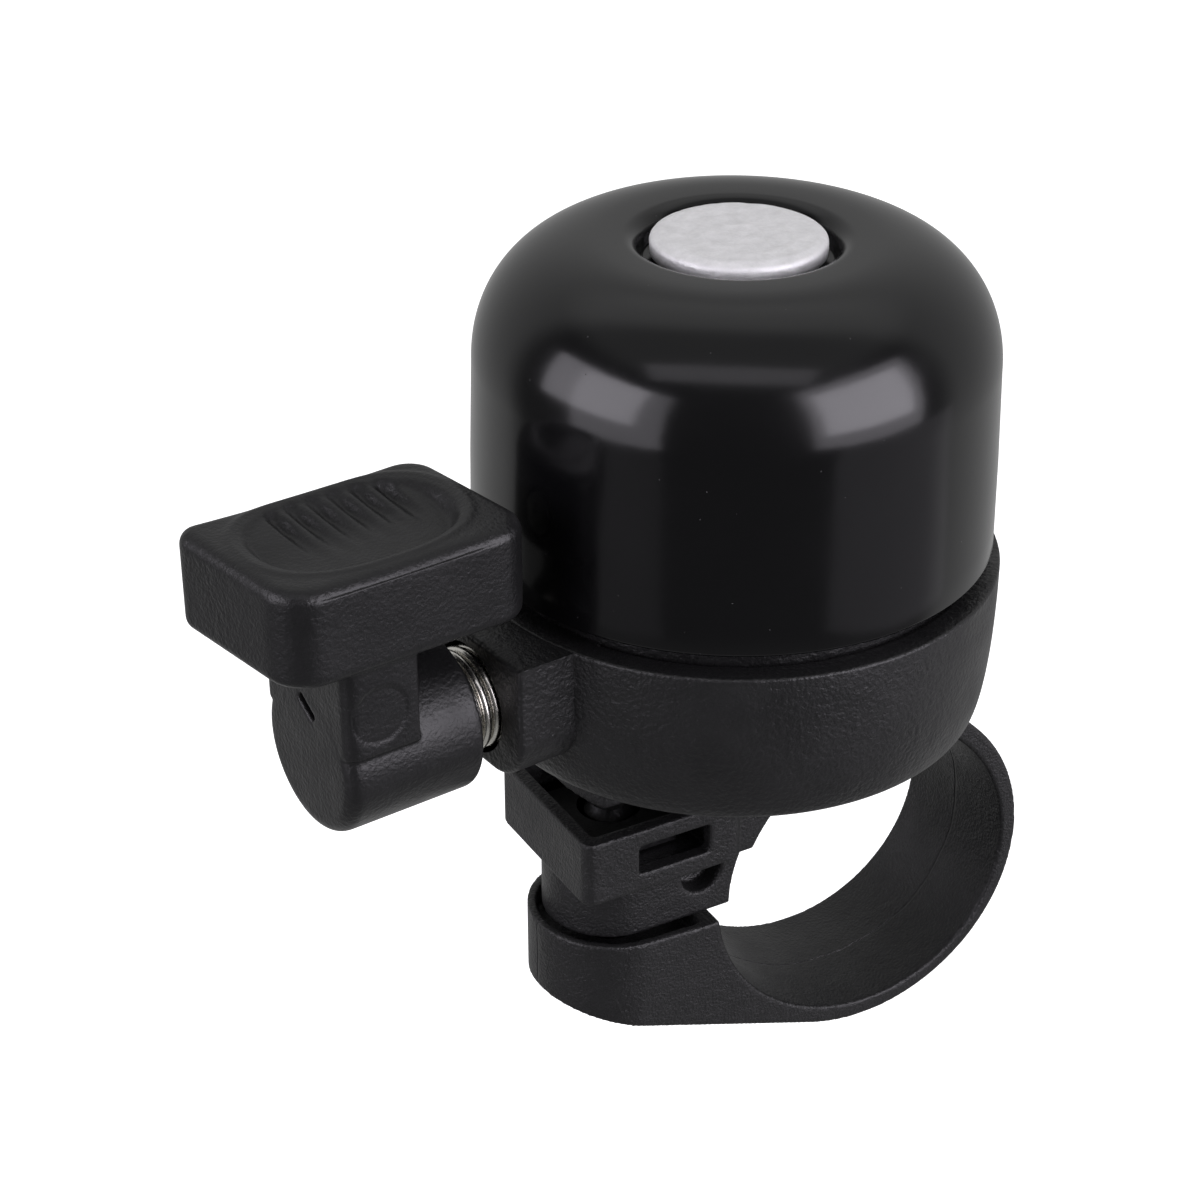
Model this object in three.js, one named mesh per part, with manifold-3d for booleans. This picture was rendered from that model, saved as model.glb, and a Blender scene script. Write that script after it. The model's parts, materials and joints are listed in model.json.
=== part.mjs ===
// A thumb-flicked bicycle bell on a band clamp for a 22.2 mm handlebar.
// Millimetres, +Z up. The origin is the centre of the handlebar, which runs along Y.
// The bell stands on its own upright axis beside the bar, and the striker group inside it
// has its own frame: +X out along the coil spring, +Z up.
import * as THREE from 'three';
import { mergeVertices } from 'three/addons/utils/BufferGeometryUtils.js';
import Module from 'manifold-3d';

const wasm = await Module();
wasm.setup();

const GAP = 0.3; // air left between pieces that rest on each other
const degrees = Math.PI / 180;

// ---- driving dimensions -------------------------------------------------------------

// Handlebar clamp
const BAR_RADIUS = 11.1;
const SADDLE_RADIUS = BAR_RADIUS + 0.1;
const BAND_WIDTH = 11.2;
const BORE_LONG = 12.39; // half axes of the band's open, slightly oval bore
const BORE_SHORT = 11.22;
const BORE_TILT = -38.2; // degrees from +X to the long axis
const BORE_CENTRE = { x: -0.64, z: -0.05 };
const BAND_LONG = 13.45; // half axes of the band's outside
const BAND_SHORT = 12.65;
const FLEX_ANGLE = -12; // where the thin band bends, degrees from +X
const ARM_SLOPE = 20.2; // the arm's underside rises towards its end, degrees
const ARM_END_RADIUS = 5.6;
const ARM_TOP = { inner: -0.25, end: 0.3 };
const NEST_RADIUS = 5.0; // hollow in the arm that takes the foot of the post
const NEST_END = -13.9; // a thin wall is left towards the bore
const NEST_FLOOR = -1.5;
const WEB_BOTTOM = -2.7; // underside of the web that the screw pulls on
const HEAD_RECESS_RADIUS = 4.1; // room for the screw's head and washer
const STRAP_HOLE_RADIUS = 2.3;

// Nut box, post and turntable of the bracket
const SCREW_X = -18.15;
const POST_RADIUS = 4.6;
const POST_FOOT = 0.25;
const BOX = { left: -23.25, right: -11.2, half: 6.1, bottom: 4.95, top: 9.75, floor: 5.85 };
const BOX_WALL = 1.0;
const BOX_INNER_RIGHT = -13.3; // near enough to the nut to keep it from turning
const WINDOW = { left: -19.2, right: -13.8, bottom: 6.3, top: 8.5 };
const NOTCH = { centre: -13.5, radius: 1.55, low: 3.55, width: 3.2 };
const LUG = { radius: 13.4, half: 5.1, bottom: 11.6 }; // under the turntable, over the nut box
const SADDLE_RIGHT = 1.5;
const POST_RIGHT = -8; // the post runs on into the saddle
const SCREW_HOLE_RADIUS = 2.45;
const NUT_POCKET = { radius: 3.5, top: 11.9 };
const TURNTABLE = { radius: 13, bottom: 12.7, top: 14.75 };

// Clamp hardware
const CLAMP_SCREW = { radius: 1.7, head: 3.6, point: 1.2, tip: 8.3, headHeight: 2.1, recess: 1.3 };
const SCREW_WASHER = { inner: 2.3, outer: 3.9, thickness: 0.4 };
const CLAMP_NUT = { half: 3.3, height: 2.0, bore: 2.2 };

// Bell
const BELL_X = -9.0; // bell axis
const RIM_Z = 26.9; // lower rim of the dome; the bell's own z is 0 there
const DOME_RADIUS = 17.0;
const DOME_SHOULDER = { radius: 16.7, z: 12.2 };
const DOME_CROWN = { radius: 8.7, z: 20.25 };
const DOME_WALL = 1.0;
const LIP = { radius: 6.6, depth: 1.75, round: 0.8 }; // dished seat under the bolt head
const SEAT_Z = DOME_CROWN.z - LIP.depth;
const DOME_HOLE_RADIUS = 3.0;
const BOLT_RADIUS = 2.0;
const BOLT_CLEARANCE = 2.3;
const HEAD = { radius: 5.7, top: 5.35, underside: 19.1, bevel: 20.15, z: 20.55 };
const BOLT_END = -18.2;
const BUSH = { flange: 4.6, sleeve: 2.75, clearance: 0.15 };
const HEAD_WASHER = { radius: 4.9, clearance: 0.1 };
const CENTRE_NUT = { radius: 3.3, bottom: 8.9, top: 10.9 };
const LOCK_WASHER = { radius: 3.25, bottom: 11.0, top: 11.75, slit: 0.5 };

// Base cup
const CUP_RIM = { radius: 17.55, z: -1.2 };
const CUP_BEND = -2.6; // the side is straight above this
const CUP_BOTTOM = { radius: 16.4, z: -11.83 };
const CUP_WALL = 1.6;
const SHIELD = { radius: 15.6, wall: 1.0, top: 0.9 }; // inner lip that reaches up into the dome
const STEM_RADIUS = 4.3; // hollow stem that carries the dome
const STEM_TOP = 16.1;
const BOSS = { half: 5.75, end: 20.55, start: 13.6, top: -1.25, bottom: -9.85, corner: 3.2 };

// Striker, in its own frame
const STRIKER_TURN = 186.1; // direction of the spring, degrees from +X
const SPRING_Z = -5.8;
const SPRING_RADIUS = 2.85; // to the middle of the wire
const WIRE_RADIUS = 0.3;
const SPRING_PITCH = 0.72;
const COILS = {
  root: { start: 15.5, turns: 6.7 },
  middle: { start: 21.25, turns: 1.2 },
  tip: { start: 23.0, turns: 6.9 },
};
const PLUG = { radius: 2.25, bossEnd: 19.6, leverStart: 23.7 };
const SOCKET_RADIUS = 3.5;
const BOSS_SOCKET = 14.9; // depth ends here
const LEVER_SOCKET = 28.6;
const BARREL = { start: 22.7, end: 32.3, radius: 4.8 };
const PILLAR_START = 27.2;
const PAD = { start: 19.5, end: 36.6, back: -6.1, front: 5.8, bottom: 2.2, top: 8.3, edge: 0.6 };
const PAD_SKEW = -0.107; // both ends lean this much in x for each millimetre of y
const PAD_CORNERS = { inner: 1.8, outerFront: 2.7, outerBack: 1.5 };
const SLUG = { radius: 1.4, length: 4, start: 19.3, z: (PAD.top + PAD.bottom) / 2 };

// ---- solids --------------------------------------------------------------------------

// A closed three.js geometry as a solid that can be cut and joined.
function solid(geometry) {
  const bare = geometry.index ? geometry.toNonIndexed() : geometry.clone();
  bare.deleteAttribute('normal');
  bare.deleteAttribute('uv');
  const merged = mergeVertices(bare, 1e-4);
  const mesh = new wasm.Mesh({
    numProp: 3,
    vertProperties: new Float32Array(merged.attributes.position.array),
    triVerts: new Uint32Array(merged.index.array),
  });
  return new wasm.Manifold(mesh);
}

function geometryOf(shape) {
  const mesh = shape.getMesh();
  const geometry = new THREE.BufferGeometry();
  geometry.setAttribute('position', new THREE.BufferAttribute(mesh.vertProperties, 3));
  geometry.setIndex(new THREE.BufferAttribute(mesh.triVerts, 1));
  return geometry;
}

// A block between two corners.
function block(low, high) {
  const size = high.map((value, i) => value - low[i]);
  const geometry = new THREE.BoxGeometry(...size);
  geometry.translate(...high.map((value, i) => (value + low[i]) / 2));
  return solid(geometry);
}

// An upright cylinder at (x, y) from z = low to z = high.
function upright(radius, low, high, x = 0, y = 0, sides = 32) {
  const geometry = new THREE.CylinderGeometry(radius, radius, high - low, sides);
  geometry.rotateX(90 * degrees);
  geometry.translate(x, y, (low + high) / 2);
  return solid(geometry);
}

// A cylinder along X at height z.
function alongX(radius, low, high, z, sides = 32) {
  const geometry = new THREE.CylinderGeometry(radius, radius, high - low, sides);
  geometry.rotateZ(90 * degrees);
  geometry.translate((low + high) / 2, 0, z);
  return solid(geometry);
}

// A solid of revolution about Z. The profile lists [radius, z] anticlockwise and closes on itself.
function turned(profile, segments = 48) {
  const closed = [...profile, profile[0]].map(([r, z]) => new THREE.Vector2(r, z));
  const geometry = new THREE.LatheGeometry(closed, segments);
  geometry.rotateX(90 * degrees);
  return solid(geometry);
}

// An outline in the XZ plane, drawn out along Y and centred on y = 0.
function slabY(outline, width) {
  const shape = new THREE.Shape(outline.map(([x, z]) => new THREE.Vector2(x, z)));
  const geometry = new THREE.ExtrudeGeometry(shape, { depth: width, bevelEnabled: false });
  geometry.rotateX(90 * degrees);
  geometry.translate(0, width / 2, 0);
  return solid(geometry);
}

// A flat ring from z = low to z = high.
function ring(inner, outer, low, high, segments = 32) {
  return turned([[inner, low], [outer, low], [outer, high], [inner, high]], segments);
}

// Points of an arc, angles in degrees.
function arc(cx, cz, radiusX, radiusZ, from, to, steps) {
  return Array.from({ length: steps + 1 }, (_, i) => {
    const angle = (from + ((to - from) * i) / steps) * degrees;
    return [cx + radiusX * Math.cos(angle), cz + radiusZ * Math.sin(angle)];
  });
}

function part(name, shape, material) {
  const mesh = new THREE.Mesh(geometryOf(shape), material.clone());
  mesh.name = name;
  return mesh;
}

// ---- materials -----------------------------------------------------------------------

const paint = new THREE.MeshStandardMaterial({ color: 0x08080a, roughness: 0.18, metalness: 0.0 });
const plastic = new THREE.MeshStandardMaterial({ color: 0x101012, roughness: 0.6, metalness: 0.0 });
const nylon = new THREE.MeshStandardMaterial({ color: 0xd8d5c8, roughness: 0.5, metalness: 0.0 });
const steel = new THREE.MeshStandardMaterial({ color: 0xb8b8b6, roughness: 0.35, metalness: 1.0 });
const blackSteel = new THREE.MeshStandardMaterial({ color: 0x3a3a3b, roughness: 0.5, metalness: 1.0 });
const alloy = new THREE.MeshStandardMaterial({ color: 0xc4c5c7, roughness: 0.45, metalness: 1.0 });

// ---- dome and its fastening ----------------------------------------------------------

// The dome: a straight skirt, a round shoulder, and a dished seat under the bolt head.
function makeDome() {
  const { radius: crown, z: top } = DOME_CROWN;
  const { radius: shoulder, z: bend } = DOME_SHOULDER;
  const inside = DOME_WALL;
  const outerShoulder = arc(crown, bend, shoulder - crown, top - bend, 0, 90, 7);
  const innerShoulder = arc(crown, bend, shoulder - inside - crown, top - inside - bend, 90, 0, 4);
  const profile = [
    [DOME_RADIUS - inside, 0],
    [DOME_RADIUS, 0],
    ...outerShoulder,
    ...arc(LIP.radius + LIP.round, top - LIP.round, LIP.round, LIP.round, 90, 180, 3),
    [LIP.radius - 0.3, SEAT_Z],
    [DOME_HOLE_RADIUS, SEAT_Z],
    [DOME_HOLE_RADIUS, SEAT_Z - inside],
    [LIP.radius + 0.4, SEAT_Z - inside],
    [LIP.radius + 1.4, top - inside],
    ...innerShoulder,
  ];
  return turned(profile, 48);
}

function makeCentreBolt() {
  const chamfer = 0.4;
  return turned([
    [0, BOLT_END],
    [BOLT_RADIUS - chamfer, BOLT_END],
    [BOLT_RADIUS, BOLT_END + chamfer],
    [BOLT_RADIUS, HEAD.underside],
    [HEAD.radius, HEAD.underside],
    [HEAD.radius, HEAD.bevel],
    [HEAD.top, HEAD.z],
    [0, HEAD.z],
  ], 36);
}

// Top-hat bush: its sleeve centres the dome and its flange carries it on the stem.
function makeDomeBush() {
  const { flange, sleeve, clearance } = BUSH;
  const flangeTop = SEAT_Z - DOME_WALL - clearance;
  const sleeveTop = SEAT_Z - 0.1;
  return turned([
    [BOLT_CLEARANCE, STEM_TOP + clearance],
    [flange, STEM_TOP + clearance],
    [flange, flangeTop],
    [sleeve, flangeTop],
    [sleeve, sleeveTop],
    [BOLT_CLEARANCE, sleeveTop],
  ], 32);
}

function makeHeadWasher() {
  const { radius, clearance } = HEAD_WASHER;
  return ring(BOLT_CLEARANCE, radius, SEAT_Z + clearance, HEAD.underside - clearance);
}

function makeCentreNut() {
  const { radius, bottom, top } = CENTRE_NUT;
  const hexagon = upright(radius, bottom, top, 0, 0, 6);
  return hexagon.subtract(upright(BOLT_CLEARANCE, bottom - 1, top + 1, 0, 0, 24));
}

// A split spring washer.
function makeLockWasher() {
  const { radius, bottom, top, slit } = LOCK_WASHER;
  const cut = block([BOLT_CLEARANCE - 0.5, -slit / 2, bottom - 1], [radius + 1, slit / 2, top + 1]);
  return ring(BOLT_CLEARANCE, radius, bottom, top, 28).subtract(cut);
}

// ---- base cup ------------------------------------------------------------------------

// Rounded side of the cup, from the rim down to the underside.
function cupSide() {
  const { radius, z } = CUP_BOTTOM;
  return arc(radius, CUP_BEND, CUP_RIM.radius - radius, CUP_BEND - z, -80, 0, 6);
}

function bossSection() {
  const { half, top, bottom, corner } = BOSS;
  const shape = new THREE.Shape();
  shape.moveTo(-half, top);
  shape.lineTo(-half, bottom + corner);
  shape.absarc(-half + corner, bottom + corner, corner, Math.PI, 1.5 * Math.PI);
  shape.lineTo(half - corner, bottom);
  shape.absarc(half - corner, bottom + corner, corner, 1.5 * Math.PI, 2 * Math.PI);
  shape.lineTo(half, top);
  return shape;
}

// A section in the striker frame's YZ plane, drawn out along X.
function drawnOut(shape, from, to, curveSegments = 8) {
  const options = { depth: to - from, bevelEnabled: false, curveSegments };
  const geometry = new THREE.ExtrudeGeometry(shape, options);
  geometry.applyMatrix4(new THREE.Matrix4().set(
    0, 0, 1, from,
    1, 0, 0, 0,
    0, 1, 0, 0,
    0, 0, 0, 1,
  ));
  return solid(geometry);
}

function makeBaseCup() {
  const floorTop = CUP_BOTTOM.z + CUP_WALL;
  const shell = turned([
    [0, CUP_BOTTOM.z],
    [CUP_BOTTOM.radius - 0.6, CUP_BOTTOM.z],
    ...cupSide(),
    [CUP_RIM.radius, CUP_RIM.z],
    [SHIELD.radius, CUP_RIM.z],
    [SHIELD.radius, SHIELD.top],
    [SHIELD.radius - SHIELD.wall, SHIELD.top],
    [SHIELD.radius - SHIELD.wall, CUP_RIM.z - 2],
    [CUP_BOTTOM.radius - CUP_WALL, floorTop],
    [STEM_RADIUS + 0.8, floorTop],
    [STEM_RADIUS, floorTop + 6],
    [STEM_RADIUS - 0.6, STEM_TOP],
    [0, STEM_TOP],
  ], 48);
  const boss = drawnOut(bossSection(), BOSS.start, BOSS.end);
  const socket = alongX(SOCKET_RADIUS, BOSS_SOCKET, BOSS.end + 1, SPRING_Z);
  const boltHole = upright(BOLT_CLEARANCE, CUP_BOTTOM.z - 1, STEM_TOP + 1);
  return shell
    .add(boss.rotate([0, 0, STRIKER_TURN]))
    .subtract(socket.rotate([0, 0, STRIKER_TURN]))
    .subtract(boltHole);
}

// ---- clamp ---------------------------------------------------------------------------

// A point of the tilted oval at an angle from +X, seen from the oval's centre.
function ovalPoint(angle, long, short) {
  const turn = (angle - BORE_TILT) * degrees;
  const reach = (long * short) / Math.hypot(short * Math.cos(turn), long * Math.sin(turn));
  return [
    BORE_CENTRE.x + reach * Math.cos(angle * degrees),
    BORE_CENTRE.z + reach * Math.sin(angle * degrees),
  ];
}

function ovalArc(from, to, long, short, steps) {
  const angles = Array.from({ length: steps + 1 }, (_, i) => from + ((to - from) * i) / steps);
  return angles.map((angle) => ovalPoint(angle, long, short));
}

// Half the angle that the flex gap takes out of the band.
const FLEX_HALF_GAP = GAP / 2 / BORE_LONG / degrees;

// The moving part of the band with the arm that the screw pulls up.
function makeStrapArm() {
  const start = FLEX_ANGLE - FLEX_HALF_GAP;
  const normal = (-90 - ARM_SLOPE - BORE_TILT) * degrees;
  const tangent = BORE_TILT + Math.atan2(
    BAND_SHORT ** 2 * Math.sin(normal),
    BAND_LONG ** 2 * Math.cos(normal),
  ) / degrees;
  const end = SCREW_X - ARM_END_RADIUS;
  const [tangentX, tangentZ] = ovalPoint(tangent, BAND_LONG, BAND_SHORT);
  const endBottom = tangentZ + (tangentX - end) * Math.tan(ARM_SLOPE * degrees);
  const side = slabY([
    ...ovalArc(start, -179, BORE_LONG, BORE_SHORT, 26),
    [BORE_CENTRE.x - BORE_LONG, ARM_TOP.inner],
    [end, ARM_TOP.end],
    [end, endBottom],
    ...ovalArc(tangent, start, BAND_LONG, BAND_SHORT, 16),
  ], BAND_WIDTH);
  const plan = upright(ARM_END_RADIUS, -20, 10, SCREW_X, 0, 40)
    .add(block([SCREW_X, -ARM_END_RADIUS, -20], [20, ARM_END_RADIUS, 10]));
  const nest = upright(NEST_RADIUS, NEST_FLOOR, 5, SCREW_X, 0, 32)
    .add(block([SCREW_X, -NEST_RADIUS, NEST_FLOOR], [NEST_END, NEST_RADIUS, 5]));
  const headRecess = upright(HEAD_RECESS_RADIUS, -20, WEB_BOTTOM, SCREW_X, 0, 28);
  const screwHole = upright(STRAP_HOLE_RADIUS, -20, 5, SCREW_X, 0, 24);
  return side.intersect(plan).subtract(nest).subtract(headRecess).subtract(screwHole);
}

// Turntable, saddle, fixed upper band, nut box and post: one moulding.
function makeClampBracket() {
  const halfBand = BAND_WIDTH / 2;
  const upperBand = slabY([
    ...ovalArc(FLEX_ANGLE + FLEX_HALF_GAP, 84, BORE_LONG, BORE_SHORT, 12),
    ...ovalArc(96, FLEX_ANGLE + FLEX_HALF_GAP, BAND_LONG, BAND_SHORT, 12),
  ], BAND_WIDTH);
  const saddle = block(
    [BOX_INNER_RIGHT, -halfBand, BOX.bottom],
    [SADDLE_RIGHT, halfBand, TURNTABLE.bottom + 0.2],
  );
  const turntable = upright(TURNTABLE.radius, TURNTABLE.bottom, TURNTABLE.top, BELL_X, 0, 48);
  const box = block([BOX.left, -BOX.half, BOX.bottom], [BOX.right, BOX.half, BOX.top]);
  const lug = upright(LUG.radius, LUG.bottom, TURNTABLE.bottom + 0.2, BELL_X, 0, 48)
    .intersect(block([-30, -LUG.half, 0], [BOX_INNER_RIGHT + 1, LUG.half, 20]));
  const boxInside = block(
    [BOX.left + BOX_WALL, -BOX.half + BOX_WALL, BOX.floor],
    [BOX_INNER_RIGHT, BOX.half - BOX_WALL, LUG.bottom],
  );
  const window = block(
    [WINDOW.left, -BOX.half - 1, WINDOW.bottom],
    [WINDOW.right, -BOX.half + BOX_WALL + 1, WINDOW.top],
  );
  const post = upright(POST_RADIUS, POST_FOOT, BOX.floor, SCREW_X, 0, 36)
    .add(block([SCREW_X, -POST_RADIUS, POST_FOOT], [POST_RIGHT, POST_RADIUS, BOX.floor]));
  const notchEnd = slabY(
    [
      ...arc(NOTCH.centre, NOTCH.low, NOTCH.radius, NOTCH.radius, 180, 360, 10),
      [NOTCH.centre + NOTCH.radius, BOX.bottom],
      [NOTCH.centre - NOTCH.radius, BOX.bottom],
    ],
    NOTCH.width,
  ).translate([0, -POST_RADIUS, 0]);
  const bar = upright(SADDLE_RADIUS, -20, 20, 0, 0, 72).rotate([90, 0, 0]);
  const boltHole = upright(BOLT_CLEARANCE, 0, 20, BELL_X, 0, 24);
  const nutPocket = upright(NUT_POCKET.radius, 0, NUT_POCKET.top, BELL_X, 0, 24);
  const screwHole = upright(SCREW_HOLE_RADIUS, 0, BOX.floor + 1, SCREW_X, 0, 24);
  return saddle
    .add(box)
    .add(post)
    .subtract(bar)
    .add(upperBand)
    .add(turntable)
    .add(lug)
    .subtract(boxInside)
    .subtract(window)
    .subtract(notchEnd)
    .subtract(boltHole)
    .subtract(nutPocket)
    .subtract(screwHole);
}

// Pan-head screw with a cross recess, driven from below.
function makeClampScrew() {
  const { radius, head, point, tip, headHeight, recess } = CLAMP_SCREW;
  const headTop = WEB_BOTTOM - 0.6;
  const headBottom = headTop - headHeight;
  const body = turned([
    [0, headBottom],
    [head - 1, headBottom],
    [head - 0.1, headBottom + 0.8],
    [head, headTop],
    [radius, headTop],
    [radius, tip - 0.6],
    [point, tip],
    [0, tip],
  ], 28);
  const slot = block([-2.1, -0.4, headBottom - 1], [2.1, 0.4, headBottom + recess]);
  return body.subtract(slot).subtract(slot.rotate([0, 0, 90]));
}

function makeScrewWasher() {
  const { inner, outer, thickness } = SCREW_WASHER;
  const top = WEB_BOTTOM - 0.1;
  return ring(inner, outer, top - thickness, top, 28);
}

function makeClampNut() {
  const { half, height, bore } = CLAMP_NUT;
  const low = BOX.floor + 0.15;
  return block([-half, -half, low], [half, half, low + height])
    .subtract(upright(bore, low - 1, low + height + 1, 0, 0, 24));
}

// ---- striker and its spring ----------------------------------------------------------

class Helix extends THREE.Curve {
  constructor(start, turns) {
    super();
    this.start = start;
    this.turns = turns;
  }

  getPoint(t, target = new THREE.Vector3()) {
    const angle = 2 * Math.PI * this.turns * t;
    return target.set(
      this.start + SPRING_PITCH * this.turns * t,
      SPRING_RADIUS * Math.cos(angle),
      SPRING_Z + SPRING_RADIUS * Math.sin(angle),
    );
  }
}

// Part of the coil spring, from x = start for a number of turns.
function makeCoil({ start, turns }) {
  const wire = new THREE.Shape();
  const sides = 5;
  for (let i = 0; i < sides; i += 1) {
    const angle = (2 * Math.PI * i) / sides;
    const [x, y] = [WIRE_RADIUS * Math.cos(angle), WIRE_RADIUS * Math.sin(angle)];
    if (i === 0) wire.moveTo(x, y);
    else wire.lineTo(x, y);
  }
  wire.closePath();
  const steps = Math.round(11 * turns);
  const path = new Helix(start, turns);
  return solid(new THREE.ExtrudeGeometry(wire, { steps, extrudePath: path, bevelEnabled: false }));
}

// A stub inside the coil's end that grips it.
function makePlug(from, to) {
  return alongX(PLUG.radius, from, to, SPRING_Z, 20);
}

// An outline through [x, y, radius] corners, each rounded by its radius.
function roundedOutline(corners) {
  const shape = new THREE.Shape();
  corners.forEach(([x, y, radius], i) => {
    const corner = new THREE.Vector2(x, y);
    const [before, after] = [i - 1, i + 1].map((j) => {
      const [nextX, nextY] = corners.at(j % corners.length);
      return new THREE.Vector2(nextX, nextY).sub(corner).setLength(radius).add(corner);
    });
    if (i === 0) shape.moveTo(before.x, before.y);
    else shape.lineTo(before.x, before.y);
    shape.quadraticCurveTo(x, y, after.x, after.y);
  });
  shape.closePath();
  return shape;
}

// The pad's plan, set in by its edge rounding. Both ends are slightly skewed.
function padPlan() {
  const { start, end, back, front, edge } = PAD;
  const { inner, outerFront, outerBack } = PAD_CORNERS;
  const [low, high] = [back + edge, front - edge];
  return roundedOutline([
    [start + edge + PAD_SKEW * low, low, inner],
    [end - edge + PAD_SKEW * low, low, outerBack],
    [end - edge + PAD_SKEW * high, high, outerFront],
    [start + edge + PAD_SKEW * high, high, inner],
  ]);
}

// Thumb pad, pillar and barrel: one moulding.
function makeStrikerLever() {
  const { edge } = PAD;
  const padGeometry = new THREE.ExtrudeGeometry(padPlan(), {
    depth: PAD.top - PAD.bottom - 2 * edge,
    bevelSize: edge,
    bevelThickness: edge,
    bevelSegments: 1,
    curveSegments: 5,
  });
  padGeometry.translate(0, 0, PAD.bottom + edge);
  const pad = solid(padGeometry);
  const barrel = alongX(BARREL.radius, BARREL.start, BARREL.end, SPRING_Z, 36);
  const pillar = block(
    [PILLAR_START, -BARREL.radius, SPRING_Z],
    [BARREL.end, BARREL.radius, PAD.bottom + edge],
  );
  const socket = alongX(SOCKET_RADIUS, BARREL.start - 1, LEVER_SOCKET, SPRING_Z);
  const slugHole = alongX(
    SLUG.radius + GAP, PAD.start - 1, SLUG.start + SLUG.length + GAP, SLUG.z, 20,
  );
  return pad.add(barrel).add(pillar).subtract(socket).subtract(slugHole);
}

// Steel slug in the pad's inner end, the part that meets the dome.
function makeStrikeInsert() {
  return alongX(SLUG.radius, SLUG.start, SLUG.start + SLUG.length, SLUG.z, 20);
}

// ---- assembly ------------------------------------------------------------------------

const bell = new THREE.Group();
bell.position.set(BELL_X, 0, RIM_Z);
bell.add(
  part('dome', makeDome(), paint),
  part('centre_bolt', makeCentreBolt(), alloy),
  part('head_washer', makeHeadWasher(), nylon),
  part('dome_bush', makeDomeBush(), nylon),
  part('base_cup', makeBaseCup(), plastic),
);

const striker = new THREE.Group();
striker.rotation.z = STRIKER_TURN * degrees;
striker.add(
  part('spring_root', makeCoil(COILS.root), steel),
  part('spring_middle', makeCoil(COILS.middle), steel),
  part('spring_tip', makeCoil(COILS.tip), steel),
  part('boss_plug', makePlug(BOSS_SOCKET + GAP, PLUG.bossEnd), steel),
  part('lever_plug', makePlug(PLUG.leverStart, LEVER_SOCKET - GAP), steel),
  part('striker_lever', makeStrikerLever(), plastic),
  part('strike_insert', makeStrikeInsert(), steel),
);
bell.add(striker);

const underBell = new THREE.Group();
underBell.position.set(BELL_X, 0, 0);
underBell.add(
  part('centre_nut', makeCentreNut(), steel),
  part('lock_washer', makeLockWasher(), steel),
);

const screw = new THREE.Group();
screw.position.set(SCREW_X, 0, 0);
screw.add(
  part('clamp_screw', makeClampScrew(), blackSteel),
  part('screw_washer', makeScrewWasher(), steel),
  part('clamp_nut', makeClampNut(), blackSteel),
);

const bicycleBell = new THREE.Group();
bicycleBell.add(
  bell,
  underBell,
  screw,
  part('clamp_bracket', makeClampBracket(), plastic),
  part('strap_arm', makeStrapArm(), plastic),
);

export default bicycleBell;
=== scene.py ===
"""Looks of a bicycle bell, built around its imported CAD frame.

Lengths are millimetres while a piece is being made; finished meshes are scaled to metres.
The bell's own frame has z = 0 at the dome's lower rim and its axis at x = y = 0.
The striker's own frame has +X out along the coil spring.
"""
import json
import math

import bmesh
import bpy
from mathutils import Matrix, Vector, noise


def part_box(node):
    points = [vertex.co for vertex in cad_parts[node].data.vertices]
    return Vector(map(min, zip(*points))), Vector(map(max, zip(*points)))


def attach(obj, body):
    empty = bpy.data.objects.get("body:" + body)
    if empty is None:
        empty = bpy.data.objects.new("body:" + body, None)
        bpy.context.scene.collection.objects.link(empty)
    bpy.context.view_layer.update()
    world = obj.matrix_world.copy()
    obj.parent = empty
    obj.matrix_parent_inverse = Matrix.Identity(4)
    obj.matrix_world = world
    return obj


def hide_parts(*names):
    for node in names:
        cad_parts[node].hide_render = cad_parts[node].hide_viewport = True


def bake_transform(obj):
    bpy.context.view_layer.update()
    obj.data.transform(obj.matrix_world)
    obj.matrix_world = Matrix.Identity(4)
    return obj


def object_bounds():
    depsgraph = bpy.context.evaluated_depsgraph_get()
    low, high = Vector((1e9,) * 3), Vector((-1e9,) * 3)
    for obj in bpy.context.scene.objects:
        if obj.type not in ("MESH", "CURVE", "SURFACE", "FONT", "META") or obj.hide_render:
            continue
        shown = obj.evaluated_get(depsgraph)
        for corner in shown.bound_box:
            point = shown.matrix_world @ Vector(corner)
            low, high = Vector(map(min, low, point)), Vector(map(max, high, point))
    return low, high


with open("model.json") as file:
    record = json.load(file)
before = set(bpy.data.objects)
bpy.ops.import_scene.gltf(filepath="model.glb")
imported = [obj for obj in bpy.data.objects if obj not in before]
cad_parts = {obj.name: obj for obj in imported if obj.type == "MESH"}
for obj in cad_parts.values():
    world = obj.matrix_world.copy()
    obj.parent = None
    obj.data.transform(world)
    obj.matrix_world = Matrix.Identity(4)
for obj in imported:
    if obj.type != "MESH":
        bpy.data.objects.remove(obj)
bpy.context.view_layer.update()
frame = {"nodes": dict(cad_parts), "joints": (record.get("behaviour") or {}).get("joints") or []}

MM = 0.001


def middle(node):
    """Centre of a CAD node's box, in millimetres."""
    low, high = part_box(node)
    return (low + high) / (2 * MM)


def bottom_of(node):
    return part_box(node)[0].z / MM


JOINTS = {joint["name"]: joint for joint in frame["joints"]}

# ---- places taken from the frame -----------------------------------------------------

BELL_X = middle("centre_bolt").x
RIM_Z = bottom_of("dome")
SCREW_X = middle("clamp_screw").x
SWAY = Vector(JOINTS["striker_sway"]["pos_m"]) / MM
TILT = Vector(JOINTS["striker_tilt"]["pos_m"]) / MM
SPRING_Z = TILT.z - RIM_Z
STRIKER_TURN = math.atan2(SWAY.y, SWAY.x - BELL_X)

IN_PART = Matrix.Identity(4)
IN_BELL = Matrix.Translation((BELL_X, 0, RIM_Z))
IN_STRIKER = IN_BELL @ Matrix.Rotation(STRIKER_TURN, 4, "Z")

# ---- sizes ---------------------------------------------------------------------------

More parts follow.
